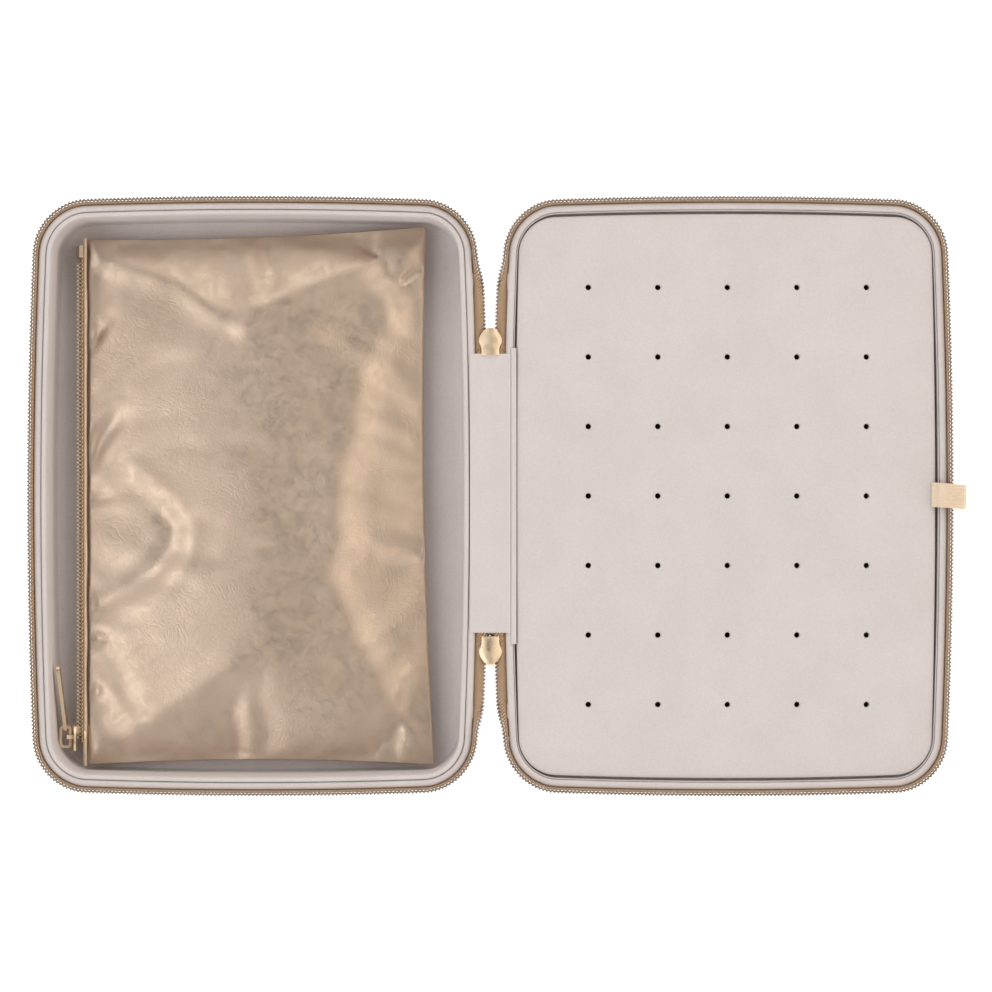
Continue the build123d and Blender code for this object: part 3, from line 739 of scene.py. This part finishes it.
def pouchSpot(u, v):  # a point of the seamed outline, u from the zipper side, v from the foot
    low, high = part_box("pouch_front")
    corners = [Vector((x + d[0] * mm, y + d[1] * mm)) for x, y, d in (
        (low.x, low.y, pouchCorners["bottomLeft"]), (high.x, low.y, pouchCorners["bottomRight"]),
        (low.x, high.y, pouchCorners["topLeft"]), (high.x, high.y, pouchCorners["topRight"]))]
    spot = corners[0].lerp(corners[1], u).lerp(corners[2].lerp(corners[3], u), v)
    bowU, bowV = 4 * u * (1 - u), 4 * v * (1 - v)
    spot.y += (pouchBows["top"] * v + pouchBows["bottom"] * (1 - v)) * bowU * mm
    spot.x += (pouchBows["left"] * (1 - u) + pouchBows["right"] * u) * bowV * mm
    return spot


def seamHeight(u, width, isTop):  # the two leathers part at the zipper and meet at the other seams
    ease = exp(-(u * width / (pouchCloth["blendIn"] * mm)) ** 2)
    zipper = pouchCloth["zipperTop" if isTop else "zipperFoot"]
    seam = pouchCloth["seamTop" if isTop else "seamFoot"]
    return (seam + (zipper - seam) * ease) * mm


def inflate(piece):  # two leathers sewn at their edge, cut a little large and filled with air
    cloth = piece.modifiers.new("leather", "CLOTH")
    settings = cloth.settings
    settings.quality = 6
    settings.mass = 0.25
    settings.air_damping = 3
    settings.tension_stiffness = settings.compression_stiffness = 14
    settings.shear_stiffness = 6
    settings.bending_stiffness = 0.35
    settings.use_pressure = True
    settings.uniform_pressure_force = pouchCloth["pressure"]
    settings.shrink_min = -pouchCloth["grow"]
    settings.vertex_group_mass = "sewn"
    settings.effector_weights.gravity = 0
    cloth.collision_settings.use_collision = False
    cloth.point_cache.frame_end = pouchCloth["frames"]
    for number in range(1, pouchCloth["frames"] + 1):
        scene.frame_set(number)
    applyModifiers(piece)


def makePouch():
    low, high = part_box("pouch_front")
    width, length = high.x - low.x, high.y - low.y
    middle = Vector(((low.x + high.x) / 2, (low.y + high.y) / 2))
    bm = bmesh.new()
    bmesh.ops.create_grid(bm, x_segments=pouchCloth["across"], y_segments=pouchCloth["along"], size=0.5)
    upper = set(newVerts(bmesh.ops.extrude_face_region(bm, geom=bm.faces[:])))
    sewn = []
    for index, v in enumerate(bm.verts):
        u, w = v.co.x + 0.5, v.co.y + 0.5
        spot = pouchSpot(u, w)
        edge = min(u, 1 - u, w, 1 - w)
        isTop = v in upper
        rise = pouchCloth["quickRise"] * mm * (1 - exp(-(edge * width / (18 * mm)) ** 1.2))
        v.co = Vector((spot.x, spot.y, seamHeight(u, width, isTop) + rise * (1 if isTop else -0.7) * 0.8))
        if edge < 1e-4:
            sewn.append(index)
    bmesh.ops.recalc_face_normals(bm, faces=bm.faces)
    piece = toObject(bm, "pouch_leather", leatherFinish, sharp=80)
    piece.vertex_groups.new(name="sewn").add(sewn, 1, "REPLACE")
    inflate(piece)
    calm = piece.modifiers.new("calm", "SMOOTH")
    calm.factor, calm.iterations = 0.5, pouchCloth["calm"]
    calm.vertex_group, calm.invert_vertex_group = "sewn", True
    smooth = piece.modifiers.new("smooth", "SUBSURF")
    smooth.levels = smooth.render_levels = 1
    applyModifiers(piece)
    seam = pouchCloth["seamTop"] * mm
    tallest = max(v.co.z for v in piece.data.vertices)
    scale = (pouchCloth["top"] * mm - seam) / (tallest - seam)
    for v in piece.data.vertices:
        x, y = (v.co.x - middle.x) / mm, (v.co.y - middle.y) / mm
        if v.co.z > seam:
            lean = smoothStep((x + width / 2 / mm) / (width / mm) / 0.72)  # fuller away from the zipper
            lean = pouchCloth["lowSide"] + (1 - pouchCloth["lowSide"]) * lean
            v.co.z = seam + (v.co.z - seam) * scale * lean
            inside = smoothStep(min(width / 2 / mm - abs(x), length / 2 / mm - abs(y)) / 6)
            for points, wide, depth in pouchFolds:
                away, reach = nearLine(x, y, points)
                if away < 3 * wide:
                    taper = 0.2 + 0.8 * smoothStep((1 - reach) / (0.6 if depth < 0 else 0.18))
                    v.co.z += depth * mm * exp(-(away / wide) ** 2) * taper * inside
        v.co.z = max(v.co.z, pouchCloth["bottom"] * mm)
    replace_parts(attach(piece, "pouch"), "pouch_front", "pouch_back")


def makePouchSeams():  # folded edge of the leather, and the stitches beside the zipper
    outline = [pouchSpot(0, t / 60) for t in range(61)]
    low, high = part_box("pouch_front")
    stations = []
    for i, p in enumerate(outline):
        sway = noise.noise(Vector((p.y * 60, 3.1, 0))) * 0.35 * mm
        stations.append(Station(Vector((p.x + sway, p.y, pouchCloth["zipperTop"] * mm)), Vector((-1, 0, 0)), up,
            (p - outline[0]).length, 1, 0))
    section = [(1.15, -0.1), (1.1, 0.3), (0.8, 0.55), (0.3, 0.6), (-0.1, 0.45), (-0.4, 0.1), (-0.5, -0.5), (1.0, -0.6)]
    edge = sweep("pouch_folded_edge", stations, section, leatherFinish, closedLine=False)
    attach(edge, "pouch")
    bm = bmesh.new()
    count = int((outline[-1] - outline[0]).length / mm / 3.6)
    for i in range(count):
        spot = pouchSpot(0, (i + 0.5) / count)
        made = bmesh.ops.create_uvsphere(bm, u_segments=8, v_segments=6, radius=0.5 * mm)["verts"]
        bmesh.ops.scale(bm, vec=(0.55, 2.6, 0.5), verts=made)
        bmesh.ops.translate(bm, vec=(spot.x - 0.15 * mm, spot.y, (pouchCloth["zipperTop"] + 0.55) * mm), verts=made)
    stitches = toObject(bm, "pouch_stitches", threadFinish)
    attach(stitches, "pouch")


def makePouchZipper():
    low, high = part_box("pouch_zipper_coil")
    middle = (low + high) / 2
    slope = radians(75)
    across = Vector((cos(slope), 0, sin(slope)))
    out = Vector((-sin(slope), 0, cos(slope)))
    small = dict(tooth, wire=0.34, bend=0.5, foot=-0.9, head=0.3, slant=0.4, pitch=1.6)
    rows = []
    count = int((high.y - low.y) / mm / small["pitch"])
    for side in (-1, 1):
        for i in range(count):
            along = low.y + (i + 0.5 + side * 0.25) * small["pitch"] * mm
            point = Vector((middle.x, along, middle.z)) + across * side * (small["head"] + 0.25) * 1.5 * mm
            rows.append((point, out, across * -side))
    turns = coil("pouch_zipper_turns", rows, pouchCoilFinish, small)
    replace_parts(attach(turns, "pouch"), "pouch_zipper_coil")


makePouch()
makePouchSeams()
makePouchZipper()
print("pouch done")


# ---- camera, light and floor

studio = {"cameraHeight": 1322, "lens": 114.7, "floorSize": 6}


def areaLight(name, position, target, size, power, colour):
    data = bpy.data.lights.new(name, "AREA")
    data.shape, data.size, data.size_y = "RECTANGLE", size[0], size[1]
    data.energy, data.color = power, linear(colour)[:3]
    light = bpy.data.objects.new(name, data)
    light.location = position
    light.rotation_euler = (Vector(target) - Vector(position)).to_track_quat("-Z", "Y").to_euler()
    scene.collection.objects.link(light)


def makeStudio():
    camera = bpy.data.objects.new("camera", bpy.data.cameras.new("camera"))
    camera.data.lens, camera.data.sensor_width = studio["lens"], 36
    camera.location = (0, 0, studio["cameraHeight"] * mm)
    scene.collection.objects.link(camera)
    scene.camera = camera
    scene.view_settings.view_transform = "Standard"

    bm = bmesh.new()
    bmesh.ops.create_grid(bm, x_segments=1, y_segments=1, size=studio["floorSize"] / 2)
    bmesh.ops.translate(bm, vec=(0, 0, cadBox[0][2] - 0.3 * mm), verts=bm.verts)
    white, tree, shader, where = startMaterial("studioPaper", {"Base Color": linear("fafafa"),
        "Roughness": 0.9, "Emission Color": linear("ffffff"), "Emission Strength": 0.85})
    grain = addNode(tree, "ShaderNodeTexNoise", {"Scale": 300}, {"Vector": where})["Fac"]
    bump = addNode(tree, "ShaderNodeBump", {"Strength": 0.05, "Distance": 0.1 * mm}, {"Height": grain})[0]
    tree.links.new(bump, shader.inputs["Normal"])
    toObject(bm, "studio_floor", white)

    world = bpy.data.worlds.new("studio")
    scene.world = world
    world.use_nodes = True
    tree = world.node_tree
    way = addNode(tree, "ShaderNodeTexCoord", {}, {})["Generated"]
    height = addNode(tree, "ShaderNodeSeparateXYZ", {}, {0: way})[2]
    glow = addNode(tree, "ShaderNodeMapRange", {"interpolation_type": "SMOOTHSTEP", "From Min": 0.6,
        "From Max": 0.97, "To Min": 1.0, "To Max": 0.22}, {"Value": height})[0]
    tree.links.new(glow, tree.nodes["Background"].inputs["Strength"])
    tree.nodes["Background"].inputs["Color"].default_value = linear("fffdfb")

    areaLight("leftSoftbox", (-1.05, -0.35, 1.3), (-0.05, 0, 0), (1.1, 1.1), 7, "fffdfc")
    areaLight("rightSoftbox", (1.3, 0.05, 1.15), (0.05, 0, 0), (1.2, 1.8), 8.5, "fff1de")
    areaLight("farSoftbox", (0, 1.3, 1.25), (0, 0, 0), (1.6, 0.7), 4.5, "fffaf4")


makeStudio()
print("studio ready")

# ---- finishes on the CAD pieces kept from model.glb, not replaced above

carried = {
    "base_shell": shellFinish, "lid_shell": shellFinish, "base_floor_board": greyboardFinish,
    "lid_floor_board": greyboardFinish, "base_floor_pad": suedeFinish, "lid_floor_pad": suedeFinish,
    "panel_foam": foamFinish, "panel_board": greyboardFinish, "panel_backing": feltFinish,
    "upper_slider_bridge": goldFinish, "lower_slider_bridge": goldFinish,
    "upper_puller": goldFinish, "lower_puller": goldFinish, "pouch_slider_body": goldFinish,
    "pouch_slider_bridge": goldFinish, "pouch_pull_ring": goldFinish, "pouch_pull_bar": goldFinish,
    "pouch_zipper_tape": flatTapeFinish, "pouch_tape_tab": leatherFinish,
}
for node, finish in carried.items():
    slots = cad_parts[node].data.materials
    slots.clear()
    slots.append(finish)
